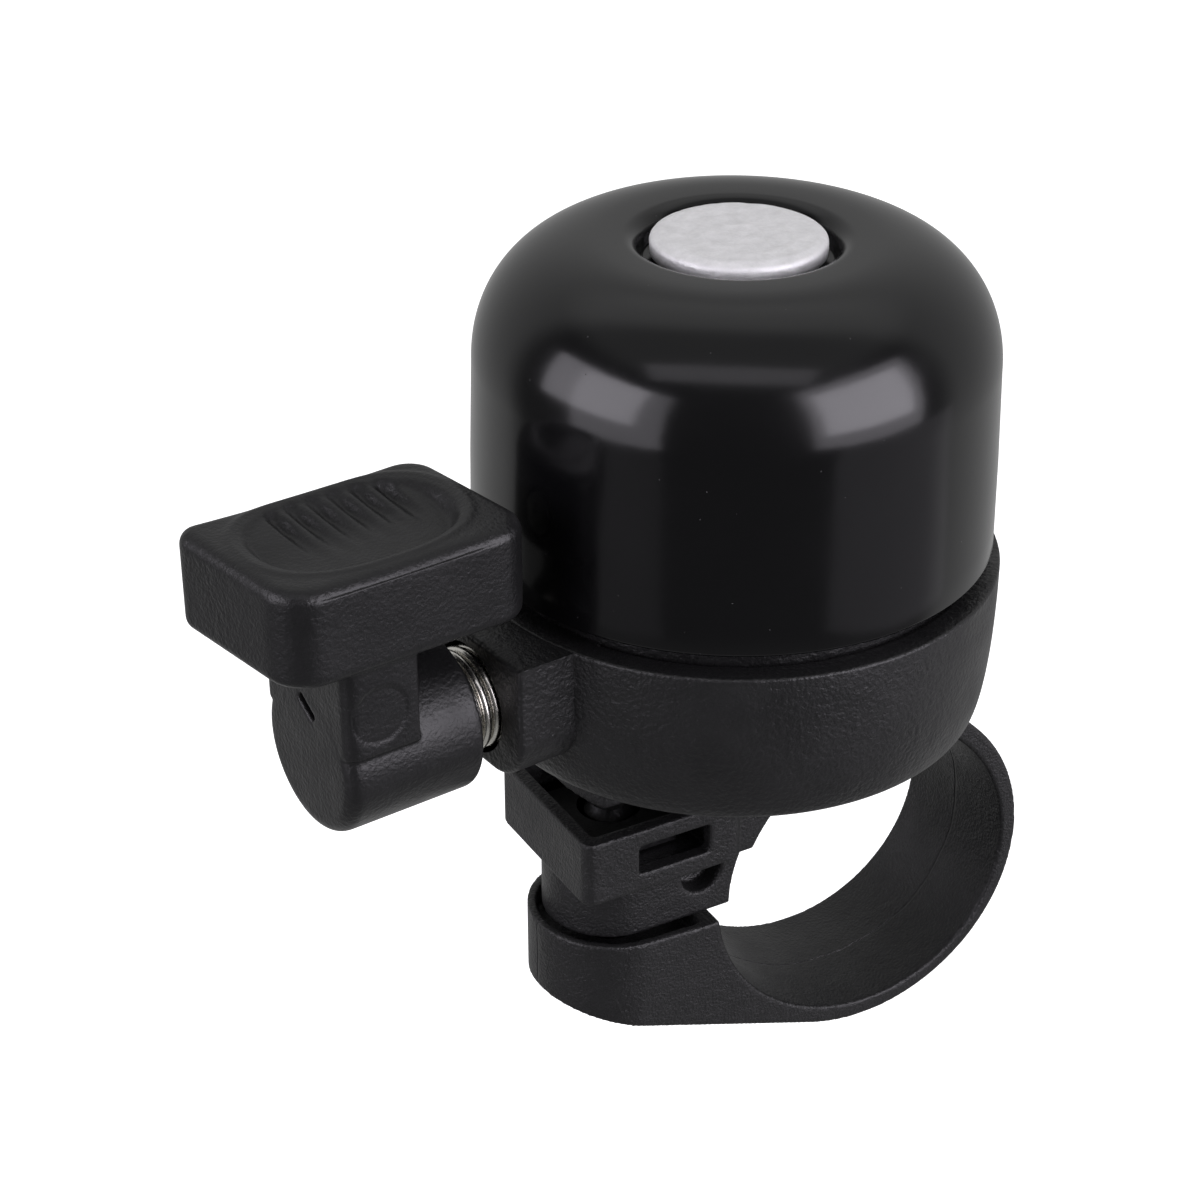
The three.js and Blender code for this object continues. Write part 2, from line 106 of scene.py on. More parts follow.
DOME_RADIUS = 17.0
DOME_SKIRT = [(0.03, 2.0), (0.1, 6.0)]  # how far in the skirt leans, and at what height
DOME_SHOULDER = (16.7, 12.2)  # radius and height where the skirt ends
DOME_CROWN = (8.7, 20.24)  # radius and height where the shoulder ends
SHOULDER_POWER = 2.13  # a little squarer than a quarter circle
DOME_RIM_ROUND = 0.25
DOME_WALL = 1.0
DOME_HOLE = 3.0
LIP_RADIUS = 6.15
LIP_ROUND = 1.15
LIP_DROP = 0.02  # from the crown down to the top of the lip
LIP_SWEEP = (90, 172)
SEAT_Z = 18.5
SEAT_CORNER = [(0.04, 0.2), (0.25, 0.0)]  # how far in and up from the seat's edge
UNDER_LIP = (0.5, 1.4)  # how far out the wall's inner side is, at its foot and its top

HEAD_RADIUS = 5.55
HEAD_TOP = 20.54
HEAD_UNDERSIDE = 19.12
HEAD_CHAMFER = 0.15
HEAD_BEVEL = (0.42, 0.62)  # radius, and depth of its centre below the top
HEAD_SHOULDER = (0.5, 0.12)  # how far in and down the bevel ends
HEAD_FLAT = (4.9, 0.07)  # radius of the top inside the bevel, and how far down its edge is
HEAD_DROP = 0.045  # of the turned top below the highest point
HEAD_MIDDLE_DROP = 0.05
RING_PITCH = 1.25  # of the turning rings in the head
RING_DEPTH = 0.02
RING_STEPS = 24
DENT_ZONE = 0.7  # only this much of the head's height is dented
DENT_RATE = 0.9
DENT_DEPTH = 0.05
DENT_FROM = 0.1
BOLT_RADIUS = 2.0
BOLT_END = -18.2
BOLT_CHAMFER = 0.5
THREAD_TOP = -4.0
THREAD_PITCH = 0.7
THREAD_DEPTH = 0.36

CUP_RIM = (17.55, -1.2)
CUP_RIM_ROUND = 0.2
CUP_RIM_DROP = 0.22  # from the rim down to where its round begins
CUP_GUTTER = (0.45, 0.3, 0.25)  # width at the top and at the floor, and depth
CUP_BEND = -2.6
CUP_SWEEP = 84
CUP_BOTTOM = (16.4, -11.83)
CUP_CORNER = 0.75  # from the underside's edge in to its flat
CUP_WALL = 1.6
SHIELD = (15.6, 14.6, 0.88)  # outer and inner radius and top of the inner lip
SHIELD_CHAMFER = 0.15
SHIELD_FOOT = 2  # depth of its inner side below the rim
STEM = (5.1, 4.3, 3.7, 16.1)  # radii up the stem, and its top
STEM_WAIST = 6  # height of the middle radius above the floor
BOLT_HOLE = 2.3

BOSS_HALF = 5.75
BOSS_END = 20.55
BOSS_START = 13.8
BOSS_TOP = -1.25
BOSS_BOTTOM = -9.85
BOSS_CORNER = 3.2
BOSS_ROUND = 0.35
SOCKET = 3.7
BOSS_SOCKET = 14.9
LEVER_SOCKET = 28.6

BARREL = (22.7, 32.15, 5.15)  # start, end and radius
BARREL_ROUNDS = (0.3, 0.95)  # at the start and the end
PILLAR_ROUND = 0.9
PILLAR_START = 27.2
PILLAR_BOTTOM = -3.9
PILLAR_OVERLAP = 0.6  # how far it reaches up into the pad
HAIR = 0.02  # keeps the faces of joined solids from lying in one plane
PAD_START = 19.55
PAD_END = 36.5
PAD_BACK = -6.05
PAD_FRONT = 5.75
PAD_SKEW = -0.107  # both ends lean this much in x for each millimetre of y
PAD_BOTTOM = 2.22
PAD_TOP = 8.7
PAD_ROUND_TOP = 0.9
PAD_ROUND_BOTTOM = 0.7
PAD_INNER_ROUND = 1.1
PAD_CORNERS = [2.2, 1.3, 2.7, 2.2]
SLUG_Z = 5.25  # height of the slug in the pad
SLUG_POCKET = (1.7, 4.1)  # radius and depth
SLIT = (1.2, 0.3, 0.95)  # depth, half width and half length
SLIT_AT = (0, 0.14, -2.35)
SLIT_TURN = math.radians(58)

COIL_RADIUS = 3.05
WIRE = 0.33
COIL_PITCH = 0.7
COIL_MARGIN = 0.7  # between each end of the coil and the bottom of its socket
COIL_STEPS = 56  # rings of the wire's mesh in each turn
WIRE_SIDES = 14

BAND_HALF = 5.59
BORE_LONG = 12.39
BORE_SHORT = 11.22
BORE_TILT = math.radians(-38.2)
BORE_CENTRE = (-0.64, -0.05)
BORE_ARC = (84, -179)  # where the band's inner side starts and ends, in degrees
BAND_ARC_END = 86
FAR = 30  # further than anything in the clamp reaches
BAND_LONG = 13.44
BAND_SHORT = 12.64
ARM_SLOPE = math.radians(20.2)
ARM_END = 5.6
ARM_TOP_INNER = -0.25
ARM_TOP_END = 0.3
ARM_TOP_REACH = 12.3  # from the bore's centre to where the arm's top begins
NEST = 5.0
NEST_END = -13.9
NEST_FLOOR = -1.5
NEST_TOP = 6  # above the arm
WEB_BOTTOM = -2.7
SCREW_HEAD_HOLE = 4.1
ARM_HOLE = 2.3

CLAMP_CELL = 0.14
CLAMP_SMOOTHING = 3
CLAMP_KEEP = 0.3
SADDLE_RADIUS = 11.2
SADDLE_END = 1.5
OVERLAP = 0.2  # how far solids reach into each other before they are joined
POST_RADIUS = 4.6
POST_END = -8
POST_FOOT = 0.25
BOX_LEFT = -23.24
BOX_RIGHT = -11.2
BOX_HALF = 6.09
BOX_BOTTOM = 4.95
BOX_TOP = 9.75
BOX_FLOOR = 5.85
BOX_WALL = 1.0
BOX_INNER_RIGHT = -13.3
BOX_ROUND = 0.8
NUT_POCKET = (3.5, 11.9)  # radius and top of the centre nut's pocket
POST_HOLE = 2.45
WINDOW = (-19.2, -13.8, 6.3, 8.5)  # left, right, sill and head
NOTCH = (-13.5, 3.55, 1.55)  # centre in x and z, and radius
NOTCH_DEPTH = 1.6
LUG = (13.4, 5.1, 11.6)  # radius, half width and underside
TURNTABLE = (12.98, 12.72, 14.75)  # radius, underside and top


# ---- mesh tools ----------------------------------------------------------------------


def new_object(name, vertices, faces):
    mesh = bpy.data.meshes.new(name)
    mesh.from_pydata([tuple(v) for v in vertices], [], [tuple(f) for f in faces])
    mesh.validate()
    obj = bpy.data.objects.new(name, mesh)
    bpy.context.scene.collection.objects.link(obj)
    face_outwards(obj)
    return obj


def face_outwards(obj):
    edit = bmesh.new()
    edit.from_mesh(obj.data)
    bmesh.ops.recalc_face_normals(edit, faces=edit.faces)
    edit.to_mesh(obj.data)
    edit.free()


def lathe(name, profile, segments=160):
    """A solid of revolution about Z from [radius, z] points; the outline closes on itself."""
    vertices = []
    rings = []
    for radius, z in profile:
        if radius < 1e-6:
            rings.append([len(vertices)] * segments)
            vertices.append((0, 0, z))
            continue
        rings.append(list(range(len(vertices), len(vertices) + segments)))
        for step in range(segments):
            angle = 2 * math.pi * step / segments
            vertices.append((radius * math.cos(angle), radius * math.sin(angle), z))
    pairs = list(zip(rings, rings[1:]))
    if profile[0][0] > 1e-6:
        pairs.append((rings[-1], rings[0]))
    faces = []
    for lower, upper in pairs:
        for step in range(segments):
            after = (step + 1) % segments
            corners = [lower[step], lower[after], upper[after], upper[step]]
            face = list(dict.fromkeys(corners))
            if len(face) > 2:
                faces.append(face)
    return new_object(name, vertices, faces)


def arc(cx, cz, radius, start, end, steps):
    """Points of an arc, angles in degrees."""
    angles = [math.radians(start + (end - start) * i / steps) for i in range(steps + 1)]
    return [(cx + radius * math.cos(a), cz + radius * math.sin(a)) for a in angles]


def fillet(corner, before, after, radius, steps=5):
    """The points that round one corner of a profile."""
    c = Vector(corner)
    a = (Vector(before) - c).normalized()
    b = (Vector(after) - c).normalized()
    half = a.angle(b) / 2
    reach = radius / math.tan(half)
    centre = c + (a + b).normalized() * (radius / math.sin(half))
    first = c + a * reach - centre
    last = c + b * reach - centre
    sweep = math.atan2(first.x * last.y - first.y * last.x, first.dot(last))
    turns = [sweep * i / steps for i in range(steps + 1)]
    return [tuple(centre + Matrix.Rotation(t, 2) @ first) for t in turns]


def rounded(points, radii, steps=5):
    """A closed profile with each corner rounded by its radius; 0 keeps it sharp."""
    result = []
    count = len(points)
    for i, (point, radius) in enumerate(zip(points, radii)):
        if radius:
            result += fillet(point, points[i - 1], points[(i + 1) % count], radius, steps)
        else:
            result.append(point)
    return result


def block(low, high):
    xs, ys, zs = zip(low, high)
    corners = [(x, y, z) for x in xs for y in ys for z in zs]
    faces = [(0, 1, 3, 2), (4, 6, 7, 5), (0, 4, 5, 1), (2, 3, 7, 6), (0, 2, 6, 4), (1, 5, 7, 3)]
    return new_object("block", corners, faces)


def prism(outline, low, high, place=None):
    """An outline drawn out from low to high. place turns (u, v, depth) into (x, y, z)."""
    place = place or (lambda u, v, w: (u, v, w))
    count = len(outline)
    vertices = [place(u, v, low) for u, v in outline] + [place(u, v, high) for u, v in outline]
    faces = [tuple(range(count)), tuple(range(count, 2 * count))]
    faces += [(i, (i + 1) % count, count + (i + 1) % count, count + i) for i in range(count)]
    return new_object("prism", vertices, faces)


def circle(cx, cy, radius, steps=64):
    return arc(cx, cy, radius, 0, 360 - 360 / steps, steps - 1)


def along_y(u, v, w):
    return (u, w, v)


def along_x(u, v, w):
    return (w, u, v)


def combine(first, others, operation):
    """Joins or cuts solids with exact booleans; the others are used up."""
    for other in others:
        modifier = first.modifiers.new("boolean", "BOOLEAN")
        modifier.operation = operation
        modifier.solver = "EXACT"
        modifier.object = other
        apply_modifiers(first)
        bpy.data.objects.remove(other)
    return first


def joined(first, *others):
    return combine(first, others, "UNION")


def cut(first, *others):
    return combine(first, others, "DIFFERENCE")


def kept(first, *others):
    return combine(first, others, "INTERSECT")


def apply_modifiers(obj):
    graph = bpy.context.evaluated_depsgraph_get()
    graph.update()
    mesh = bpy.data.meshes.new_from_object(obj.evaluated_get(graph))
    old = obj.data
    obj.modifiers.clear()
    obj.data = mesh
    bpy.data.meshes.remove(old)


def moulded(obj, cell, smoothing):
    """Softens every edge the way a moulding does: an even fine mesh, smoothed a little."""
    remesh = obj.modifiers.new("remesh", "REMESH")
    remesh.mode = "VOXEL"
    remesh.voxel_size = cell
    smooth = obj.modifiers.new("smooth", "SMOOTH")
    smooth.factor = 0.5
    smooth.iterations = smoothing
    apply_modifiers(obj)


def thinned(obj, keep):
    """Keeps this share of the faces."""
    decimate = obj.modifiers.new("decimate", "DECIMATE")
    decimate.ratio = keep
    apply_modifiers(obj)


def soften(obj, chosen, width, segments=4):
    """Rounds the edges that chosen picks."""
    edit = bmesh.new()
    edit.from_mesh(obj.data)
    picked = [edge for edge in edit.edges if chosen(edge)]
    bmesh.ops.bevel(edit, geom=picked, offset=width, segments=segments, profile=0.5, affect="EDGES")
    edit.to_mesh(obj.data)
    edit.free()


def at_height(z):
    return lambda edge: all(abs(v.co.z - z) < 1e-4 for v in edge.verts)


def at_x(x):
    return lambda edge: all(abs(v.co.x - x) < 1e-4 for v in edge.verts)


def upright(edge):
    return (edge.verts[0].co.xy - edge.verts[1].co.xy).length < 1e-4


def sculpt(obj, move):
    """Moves every vertex by a function of its place and normal."""
    normals = [v.normal.copy() for v in obj.data.vertices]
    for vertex, normal in zip(obj.data.vertices, normals):
        vertex.co = move(vertex.co.copy(), normal)
    obj.data.update()


def finished(obj, name, place, nodes, material, body=None):
    """Scales a piece to metres, puts it in its place and gives it its finish."""
    obj.name = name
    obj.data.name = name
    obj.data.transform(Matrix.Scale(MM, 4) @ place)
    obj.data.polygons.foreach_set("use_smooth", [True] * len(obj.data.polygons))
    obj.data.materials.clear()
    obj.data.materials.append(material)
    if body:
        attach(obj, body)
    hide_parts(*nodes)


def crisp(obj, angle):
    """Keeps corners sharper than an angle in degrees sharp."""
    obj.data.set_sharp_from_angle(angle=math.radians(angle))


# ---- materials -----------------------------------------------------------------------


class Look:
    """A node material with the piece's own coordinates in millimetres."""

    def __init__(self, name, color, roughness, metallic=0.0):
        self.material = bpy.data.materials.new(name)
        self.material.use_nodes = True
        self.tree = self.material.node_tree
        self.shader = self.tree.nodes["Principled BSDF"]
        self.shader.inputs["Base Color"].default_value = (*color, 1)
        self.shader.inputs["Roughness"].default_value = roughness
        self.shader.inputs["Metallic"].default_value = metallic
        place = self.tree.nodes.new("ShaderNodeTexCoord")
        scale = self.node("ShaderNodeVectorMath", operation="SCALE")
        scale.inputs["Scale"].default_value = 1 / MM
        self.link(place.outputs["Object"], scale.inputs[0])
        self.place = scale.outputs["Vector"]
        self.height = None

    def node(self, kind, **settings):
        node = self.tree.nodes.new(kind)
        for key, value in settings.items():
            setattr(node, key, value)
        return node

    def link(self, source, target):
        self.tree.links.new(source, target)

    def noise(self, grain, detail=2.0, rough=0.5):
        """Noise whose blobs are about grain millimetres across."""
        texture = self.node("ShaderNodeTexNoise")
        texture.inputs["Scale"].default_value = 1 / grain
        texture.inputs["Detail"].default_value = detail
        texture.inputs["Roughness"].default_value = rough
        self.link(self.place, texture.inputs["Vector"])
        return texture.outputs["Fac"]

    def cells(self, grain):
        """Distance to the nearest of points scattered about grain millimetres apart."""
        texture = self.node("ShaderNodeTexVoronoi", feature="F1")
        texture.inputs["Scale"].default_value = 1 / grain
        self.link(self.place, texture.inputs["Vector"])
        return texture.outputs["Distance"]

    def ramp(self, source, low, high, start, end):
        """Maps low..high of the source onto start..end."""
        span = self.node("ShaderNodeMapRange")
        self.link(source, span.inputs["Value"])
        span.inputs["From Min"].default_value = low
        span.inputs["From Max"].default_value = high
        span.inputs["To Min"].default_value = start
        span.inputs["To Max"].default_value = end
        return span.outputs["Result"]

    def spread(self, cloud, start, end):
        """Maps the range that most of a noise lies in onto start..end."""
        return self.ramp(cloud, 0.3, 0.7, start, end)

    def math(self, operation, first, second):
        node = self.node("ShaderNodeMath", operation=operation)
        for socket, value in zip(node.inputs, (first, second)):
            if isinstance(value, (int, float)):
                socket.default_value = value
            else:
                self.link(value, socket)
        return node.outputs["Value"]

    def mix(self, factor, first, second):
        node = self.node("ShaderNodeMix", data_type="RGBA")
        self.link(factor, node.inputs["Factor"])
        node.inputs["A"].default_value = (*first, 1)
        node.inputs["B"].default_value = (*second, 1)
        return node.outputs["Result"]

    def color(self, output):
        self.link(output, self.shader.inputs["Base Color"])

    def roughness(self, output):
        self.link(output, self.shader.inputs["Roughness"])

    def bump(self, output, depth):
        """Adds relief; depth is the height of a full step of the output, in millimetres."""
        node = self.node("ShaderNodeBump")
        node.inputs["Distance"].default_value = depth * MM
        node.inputs["Strength"].default_value = 1.0
        self.link(output, node.inputs["Height"])
        if self.height:
            self.link(self.height, node.inputs["Normal"])
        self.height = node.outputs["Normal"]
        self.link(self.height, self.shader.inputs["Normal"])


def paint_look():
    """Gloss black enamel with faint orange peel and fine specks of dust."""
    black = (0.003, 0.003, 0.0034)
    look = Look("dome_paint", black, 0.15)
    cloud = look.noise(6.0, 3.0)
    look.roughness(look.spread(cloud, 0.13, 0.2))
    specks = look.cells(1.3)
    dust = look.ramp(specks, 0.035, 0.02, 0.0, 1.0)
    look.color(look.mix(dust, black, (0.05, 0.05, 0.05)))
    look.bump(look.noise(0.9, 1.0), 0.0022)
    look.bump(dust, 0.012)
    return look.material


def plastic_look(name, grain, relief, rough, tone=0.0075, sheen=0.5):
    """Black moulded plastic: fine pebble grain, uneven gloss between the two values of rough."""
    look = Look(name, (tone, tone, tone * 1.04), rough[0])
    cloud = look.noise(3.5, 3.0)
    look.roughness(look.spread(cloud, *rough))
    look.shader.inputs["Specular IOR Level"].default_value = sheen
    tint = look.noise(1.2, 2.0)
    dark = (tone * 0.8, tone * 0.8, tone * 0.84)
    light = (tone * 1.25, tone * 1.25, tone * 1.3)
    look.color(look.mix(tint, dark, light))
    look.bump(look.noise(grain, 2.0, 0.6), relief)
    look.bump(look.noise(grain * 4, 2.0), relief * 0.8)
    return look


def parting_line(look):
    """Adds the faint line that the mould's two halves leave round the middle of the band."""
    apart = look.node("ShaderNodeSeparateXYZ")
    look.link(look.place, apart.inputs["Vector"])
    wander = look.spread(look.noise(5.0, 3.0), -0.15, 0.15)
    away = look.math("ABSOLUTE", look.math("ADD", apart.outputs["Y"], wander), 0)
    look.bump(look.ramp(away, 0.14, 0.02, 0, 1), -0.09)
    return look


def head_look():
    """Cast alloy head: blotchy and slightly rough."""
    look = Look("bolt_head", (0.9, 0.9, 0.9), 0.5, 0.6)
    blotches = look.noise(1.1, 6.0, 0.7)
    fine = look.noise(0.22, 3.0, 0.6)
    both = look.math("MULTIPLY", blotches, look.ramp(fine, 0.2, 0.8, 0.8, 1.2))
    look.color(look.mix(look.spread(both, 0, 1), (0.86, 0.86, 0.86), (1.0, 1.0, 1.0)))
    look.roughness(look.spread(blotches, 0.5, 0.7))
    look.bump(blotches, 0.1)
    look.bump(fine, 0.018)
    return look.material


def wire_look():
    """Bright nickel-plated wire, drawn a little unevenly."""
    look = Look("spring_wire", (0.85, 0.83, 0.78), 0.2, 1.0)
    streaks = look.noise(0.35, 3.0)
    look.roughness(look.spread(streaks, 0.16, 0.32))
    look.color(look.mix(look.noise(0.8, 2.0), (0.76, 0.74, 0.68), (0.95, 0.93, 0.88)))
    look.bump(streaks, 0.004)
    return look.material


def steel_look(name, color, roughness, blotch, shades, rough, grain, relief):
    """Coated steel, mottled between two shades and two values of roughness."""
    look = Look(name, color, roughness, 1.0)
    mottle = look.noise(blotch, 4.0, 0.6)
    look.color(look.mix(mottle, *shades))
    look.roughness(look.spread(mottle, *rough))
    look.bump(look.noise(grain, 2.0), relief)
    return look.material


def nylon_look():
    """Natural nylon, slightly see-through."""
    look = Look("nylon", (0.6, 0.58, 0.5), 0.45)
    look.shader.inputs["Subsurface Weight"].default_value = 0.1
    look.shader.inputs["Subsurface Radius"].default_value = (0.001, 0.0009, 0.0007)
    cloud = look.noise(1.5, 2.0)
    look.color(look.mix(cloud, (0.55, 0.53, 0.45), (0.66, 0.64, 0.56)))
    look.roughness(look.spread(cloud, 0.4, 0.55))
    look.bump(look.noise(0.3, 2.0), 0.006)
    return look.material


PAINT = paint_look()
CUP_PLASTIC = plastic_look("cup_plastic", grain=0.3, relief=0.075, rough=(0.38, 0.5)).material
CLAMP_PLASTIC = plastic_look("clamp_plastic", grain=0.2, relief=0.075, rough=(0.4, 0.52)).material
BAND_PLASTIC = parting_line(
    plastic_look("band_plastic", grain=0.2, relief=0.075, rough=(0.4, 0.52))
).material
LEVER_PLASTIC = plastic_look(
    "lever_plastic", grain=0.26, relief=0.045, rough=(0.34, 0.46), tone=0.0085, sheen=0.4,
).material
HEAD_METAL = head_look()
WIRE_METAL = wire_look()
ZINC = steel_look(
    "zinc_plate", color=(0.5, 0.5, 0.49), roughness=0.34, blotch=0.7,
    shades=((0.38, 0.38, 0.37), (0.6, 0.6, 0.58)), rough=(0.26, 0.44), grain=0.15, relief=0.006,
)
# Dark colour of the clamp nut and screw: a guessed black finish that is also painted shade,
# darkening them where they sit in the shadow of the nut box.
BLACK_STEEL_AND_PAINTED_SHADE = steel_look(
    "black_steel", color=(0.05, 0.05, 0.052), roughness=0.42, blotch=0.5,
    shades=((0.03, 0.03, 0.031), (0.09, 0.09, 0.092)), rough=(0.32, 0.5), grain=0.2, relief=0.02,
)
NYLON = nylon_look()


# ---- dome and its bolt ---------------------------------------------------------------


def shoulder(offset, steps):
    """The dome's shoulder from the skirt up to the crown, moved inwards by offset."""
    crown_r, crown_z = DOME_CROWN
    start_r, start_z = DOME_SHOULDER
    wide = start_r - offset - crown_r
    tall = crown_z - offset - start_z
    power = 2 / SHOULDER_POWER
    angles = [math.pi / 2 * i / steps for i in range(steps + 1)]
    return [
        (crown_r + wide * math.cos(a) ** power, start_z + tall * math.sin(a) ** power)
        for a in angles
    ]


def make_dome():
    crown_z = DOME_CROWN[1]
    wall = DOME_WALL
    rim = DOME_RIM_ROUND
    outline = [
        (DOME_RADIUS - rim, 0.0),
        *arc(DOME_RADIUS - rim, rim, rim, -90, 0, 5)[1:],
        *[(DOME_RADIUS - inset, z) for inset, z in DOME_SKIRT],
        *shoulder(0, 40),
        *arc(LIP_RADIUS + LIP_ROUND, crown_z - LIP_DROP - LIP_ROUND, LIP_ROUND, *LIP_SWEEP, 10),
        *[(LIP_RADIUS - inset, SEAT_Z + rise) for inset, rise in SEAT_CORNER],
        (DOME_HOLE, SEAT_Z),
        (DOME_HOLE, SEAT_Z - wall),
        (LIP_RADIUS + UNDER_LIP[0], SEAT_Z - wall),
        (LIP_RADIUS + UNDER_LIP[1], crown_z - wall),
        *reversed(shoulder(wall, 16)),
        (DOME_RADIUS - wall, 0.0),
    ]
    dome = lathe("dome", outline, 256)
    finished(dome, "dome_shell", IN_BELL, ["dome"], PAINT, "bell")
    crisp(dome, 60)


def hammered(co, _):
    """Shallow dents in the top of the bolt's head."""
    if co.z < HEAD_TOP - DENT_ZONE or co.xy.length < 0.01:
        return co
    dent = noise.fractal(co * DENT_RATE, 1.0, 2.0, 4)
    return co + Vector((0, 0, DENT_DEPTH * min(0.0, dent - DENT_FROM)))


def make_bolt():
    """Head, shank and thread in one; the thread is rings, not a helix."""
    thread = []
    z = BOLT_END + BOLT_CHAMFER
    while z < THREAD_TOP:
        thread += [(BOLT_RADIUS - THREAD_DEPTH, z), (BOLT_RADIUS, z + THREAD_PITCH / 2)]
        z += THREAD_PITCH
    edge = HEAD_RADIUS
    bevel, bevel_drop = HEAD_BEVEL
    flat, flat_drop = HEAD_FLAT
    outline = [
        (0, BOLT_END),
        (BOLT_RADIUS - BOLT_CHAMFER, BOLT_END),
        *thread,
        (BOLT_RADIUS, z),
        (BOLT_RADIUS, HEAD_UNDERSIDE),
        (edge - HEAD_CHAMFER, HEAD_UNDERSIDE),
        (edge, HEAD_UNDERSIDE + HEAD_CHAMFER),
        (edge, HEAD_TOP - bevel_drop),
        *arc(edge - bevel, HEAD_TOP - bevel_drop, bevel, 0, 80, 8)[1:],
        (edge - HEAD_SHOULDER[0], HEAD_TOP - HEAD_SHOULDER[1]),
        (flat, HEAD_TOP - flat_drop),
    ]
    for i in range(1, RING_STEPS):
        radius = flat * (1 - i / RING_STEPS)
        ripple = RING_DEPTH * math.cos(2 * math.pi * radius / RING_PITCH)
        outline.append((radius, HEAD_TOP - HEAD_DROP - RING_DEPTH + ripple))
    outline.append((0, HEAD_TOP - HEAD_MIDDLE_DROP))
    bolt = lathe("bolt", outline, 160)
    sculpt(bolt, hammered)
    finished(bolt, "bolt_and_head", IN_BELL, ["centre_bolt"], HEAD_METAL, "clamp")
    crisp(bolt, 50)


# ---- base cup with the spring's boss -------------------------------------------------


def cup_side(steps):
    inner, low = CUP_BOTTOM
    wide = CUP_RIM[0] - inner
    tall = CUP_BEND - low
    angles = [math.radians(-CUP_SWEEP + CUP_SWEEP * i / steps) for i in range(steps + 1)]
    return [(inner + wide * math.cos(a), CUP_BEND + tall * math.sin(a)) for a in angles]


def boss_outline():
    """The boss from its end: square at the top, round at the bottom."""
    corner = BOSS_CORNER
    centre_z = BOSS_BOTTOM + corner
    return [
        (BOSS_HALF, BOSS_TOP),
        (-BOSS_HALF, BOSS_TOP),
        *arc(-BOSS_HALF + corner, centre_z, corner, 180, 270, 12),
        *arc(BOSS_HALF - corner, centre_z, corner, 270, 360, 12),
    ]


def make_cup():
    rim_r, rim_z = CUP_RIM
    low_r, low_z = CUP_BOTTOM
    floor = low_z + CUP_WALL
    stem_foot, stem_mid, stem_end, stem_top = STEM
    outer, inner, lip = SHIELD
    wide, narrow, deep = CUP_GUTTER
    chamfer = SHIELD_CHAMFER
    curve = CUP_RIM_ROUND
    outline = [
        (BOLT_HOLE, low_z),
        (low_r - CUP_CORNER, low_z),
        *cup_side(20),
        (rim_r, rim_z - CUP_RIM_DROP),
        *arc(rim_r - curve, rim_z - curve, curve, 10, 90, 4),
        (outer + wide, rim_z),
        (outer + narrow, rim_z - deep),
        (outer, rim_z - deep),
        (outer, lip - chamfer),
        (outer - chamfer, lip),
        (inner + chamfer, lip),
        (inner, lip - chamfer),
        (inner, rim_z - SHIELD_FOOT),
        (low_r - CUP_WALL, floor),
        (stem_foot, floor),
        (stem_mid, floor + STEM_WAIST),
        (stem_end, stem_top),
        (BOLT_HOLE, stem_top),
    ]
    cup = lathe("cup", outline, 192)
    turn = Matrix.Rotation(STRIKER_TURN, 4, "Z")
    boss = prism(boss_outline(), BOSS_START, BOSS_END, along_x)
    soften(boss, at_x(BOSS_END), BOSS_ROUND)
    socket = prism(circle(0, SPRING_Z, SOCKET, 64), BOSS_SOCKET, BOSS_END + 1, along_x)
    for solid in (boss, socket):
        solid.data.transform(turn)
    cut(joined(cup, boss), socket)
    finished(cup, "base_cup_shell", IN_BELL, ["base_cup"], CUP_PLASTIC, "bell")
    crisp(cup, 35)


# ---- clamp ---------------------------------------------------------------------------


def oval_point(angle, long, short):
    turn = angle - BORE_TILT
    reach = long * short / math.hypot(short * math.cos(turn), long * math.sin(turn))
    return (BORE_CENTRE[0] + reach * math.cos(angle), BORE_CENTRE[1] + reach * math.sin(angle))


def oval_arc(start, end, long, short, steps):
    """Points of the tilted oval between two angles in degrees."""
    angles = [math.radians(start + (end - start) * i / steps) for i in range(steps + 1)]
    return [oval_point(a, long, short) for a in angles]


def make_band():
    """The whole band and its arm in one piece, as it is moulded."""
    normal = -math.pi / 2 - ARM_SLOPE - BORE_TILT
    rise = BAND_SHORT**2 * math.sin(normal)
    run = BAND_LONG**2 * math.cos(normal)
    tangent = BORE_TILT + math.atan2(rise, run)
    touch_x, touch_z = oval_point(tangent, BAND_LONG, BAND_SHORT)
    end = SCREW_X - ARM_END
    end_low = touch_z + (touch_x - end) * math.tan(ARM_SLOPE)
    outline = [
        *oval_arc(*BORE_ARC, BORE_LONG, BORE_SHORT, 132),
        (BORE_CENTRE[0] - ARM_TOP_REACH, ARM_TOP_INNER),
        (end, ARM_TOP_END),
        (end, end_low),
        *oval_arc(math.degrees(tangent), BAND_ARC_END, BAND_LONG, BAND_SHORT, 100),
    ]
    band = prism(outline, -BAND_HALF, BAND_HALF, along_y)
    plan = joined(
        prism(circle(SCREW_X, 0, ARM_END, 96), -FAR, FAR),
        block((SCREW_X, -ARM_END, -FAR), (FAR, ARM_END, FAR)),
    )
    nest = joined(
        prism(circle(SCREW_X, 0, NEST, 72), NEST_FLOOR, NEST_TOP),
        block((SCREW_X, -NEST, NEST_FLOOR), (NEST_END, NEST, NEST_TOP)),
    )
    recess = prism(circle(SCREW_X, 0, SCREW_HEAD_HOLE), -FAR, WEB_BOTTOM)
    hole = prism(circle(SCREW_X, 0, ARM_HOLE, 40), -FAR, NEST_TOP)
    cut(kept(band, plan), nest, recess, hole)
    moulded(band, CLAMP_CELL, CLAMP_SMOOTHING)
    thinned(band, CLAMP_KEEP)
    finished(band, "clamp_band", IN_PART, ["strap_arm"], BAND_PLASTIC)
    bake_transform(band)


